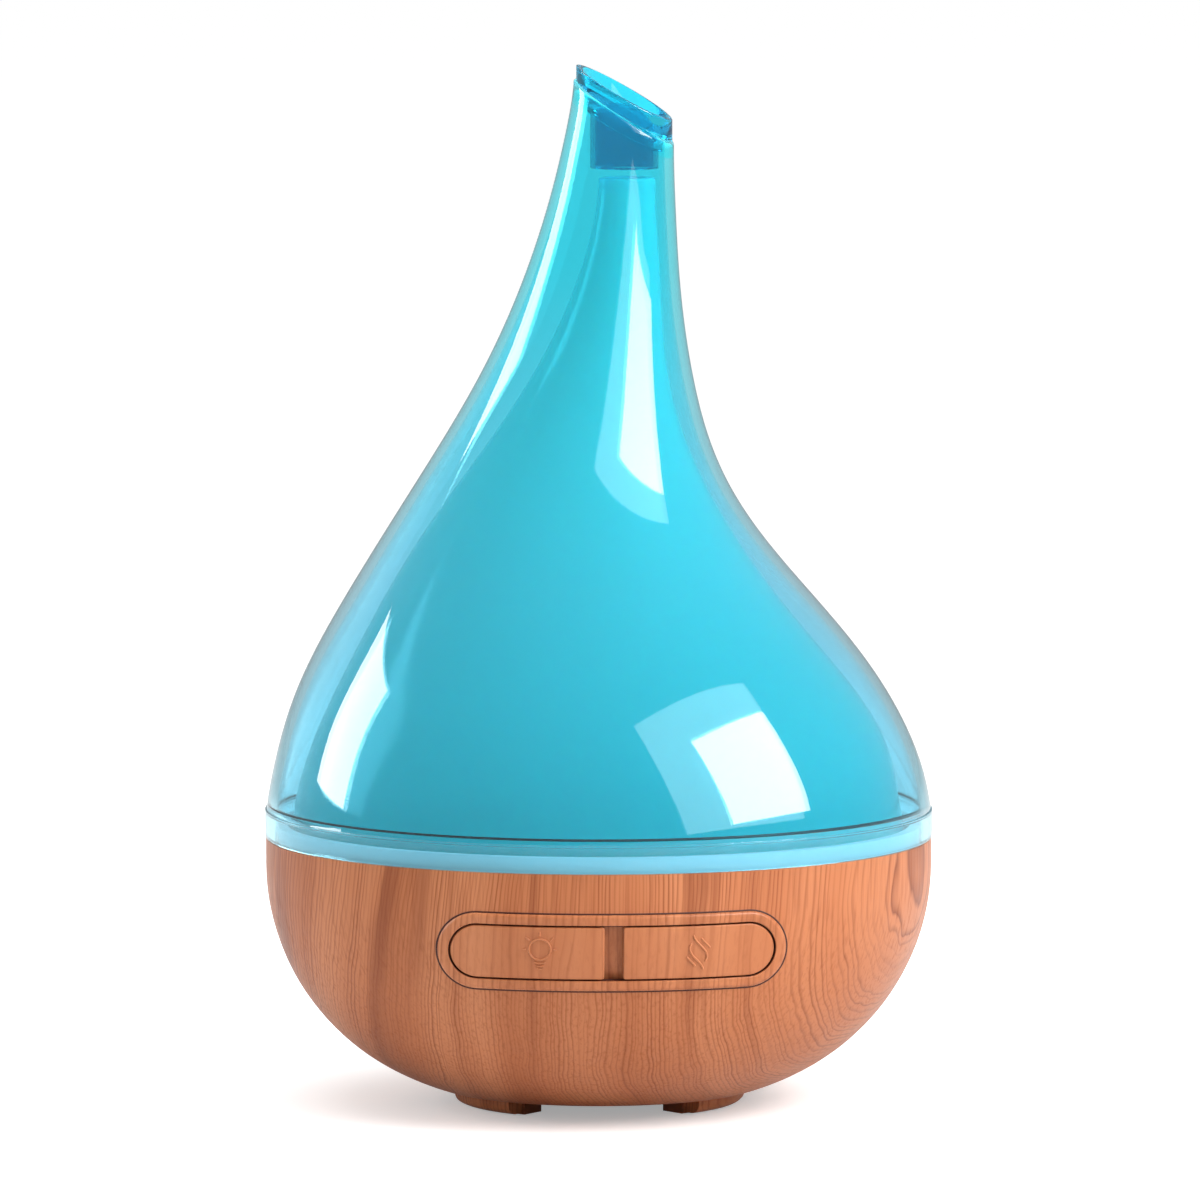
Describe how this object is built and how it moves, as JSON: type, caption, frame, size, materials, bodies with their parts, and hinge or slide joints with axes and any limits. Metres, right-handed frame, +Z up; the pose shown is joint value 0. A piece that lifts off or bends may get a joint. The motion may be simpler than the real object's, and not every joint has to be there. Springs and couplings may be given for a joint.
{
  "type": "cool mist humidifier",
  "caption": "Teardrop cool mist humidifier: clear cover and spout over a milky inner cone, white water tank with ultrasonic disc and fan, wood-look bowl on feet with an oval key panel.",
  "frame": {"origin": "centre of the footprint on the floor, on the bowl's axis", "axes": "+Z up, the key panel faces -Y, +X is the viewer's right seen from the front"},
  "size_m": [0.1508, 0.1513, 0.2347],
  "materials": {
    "wood_print": "satin wood-look print",
    "clear_shell": "clear tinted plastic, polished",
    "clear_spout": "clear deep tinted plastic, polished",
    "milky_cone": "translucent satin",
    "white_plastic": "satin",
    "black_plastic": "matte",
    "black_rubber": "matte",
    "grey_silicone": "matte",
    "filter_foam": "open foam",
    "circuit_board": "satin",
    "lamp_resin": "clear resin",
    "zinc_steel": "zinc plated",
    "nickel": "plated",
    "brass": "turned",
    "aluminium": "extruded",
    "ferrite": "matte",
    "piezo": "metal-faced ceramic"
  },
  "bodies": {
    "base": {"base_shell": "wood_print", "button_bezel": "wood_print", "foot_pad_front_left": "black_rubber", "foot_pad_front_right": "black_rubber", "foot_pad_rear": "black_rubber", "bottom_plate": "black_plastic", "intake_filter": "filter_foam", "water_tank": "white_plastic", "tank_seal": "grey_silicone", "tank_screws": "zinc_steel", "transducer_disc": "piezo", "transducer_seal": "grey_silicone", "transducer_clamp": "zinc_steel", "transducer_screws": "zinc_steel", "led_ring_board": "circuit_board", "leds": "lamp_resin", "led_board_screws": "zinc_steel", "control_board": "circuit_board", "board_screws": "zinc_steel", "capacitor": "aluminium", "inductor": "ferrite", "heat_sink": "aluminium", "driver_transistor": "black_plastic", "control_chip": "black_plastic", "fan_frame": "black_plastic", "fan_bearing": "brass", "fan_screws": "zinc_steel", "fan_duct": "black_plastic", "dc_jack": "black_plastic", "dc_jack_pin": "nickel", "button_board": "circuit_board", "button_board_screws": "zinc_steel", "light_switch": "black_plastic", "mist_switch": "black_plastic"},
    "fan_rotor": {"fan_rotor": "black_plastic", "fan_shaft": "zinc_steel"},
    "light_button": {"light_button": "wood_print"},
    "mist_button": {"mist_button": "wood_print"},
    "light_plunger": {"light_plunger": "white_plastic"},
    "mist_plunger": {"mist_plunger": "white_plastic"},
    "inner_cover": {"inner_cover": "milky_cone"},
    "outer_cover": {"outer_cover": "clear_shell"},
    "spout": {"spout": "clear_spout"}
  },
  "joints": [
    {"name": "inner_cover_lift", "type": "slide", "parent": "base", "child": "inner_cover", "axis": [0, 0, 1], "range_m": [0, 0.08]},
    {"name": "outer_cover_lift", "type": "slide", "parent": "inner_cover", "child": "outer_cover", "axis": [0, 0, 1], "range_m": [0, 0.16]},
    {"name": "spout_pull", "type": "slide", "parent": "outer_cover", "child": "spout", "axis": [0, 0, 1], "range_m": [0, 0.03]},
    {"name": "fan_spin", "type": "hinge", "parent": "base", "child": "fan_rotor", "pos_m": [0, 0, 0.012], "axis": [0, 0, 1], "continuous": true},
    {"name": "light_button_press", "type": "slide", "parent": "base", "child": "light_button", "axis": [0, 1, 0], "range_m": [0, 0.0006], "stiffness_N_per_m": 1500},
    {"name": "mist_button_press", "type": "slide", "parent": "base", "child": "mist_button", "axis": [0, 1, 0], "range_m": [0, 0.0006], "stiffness_N_per_m": 1500},
    {"name": "light_plunger_press", "type": "slide", "parent": "base", "child": "light_plunger", "axis": [0, 1, 0], "range_m": [0, 0.0005]},
    {"name": "mist_plunger_press", "type": "slide", "parent": "base", "child": "mist_plunger", "axis": [0, 1, 0], "range_m": [0, 0.0005]}
  ],
  "couplings": [
    {"joint": "light_plunger_press", "follows": "light_button_press", "ratio": 0.83},
    {"joint": "mist_plunger_press", "follows": "mist_button_press", "ratio": 0.83}
  ]
}
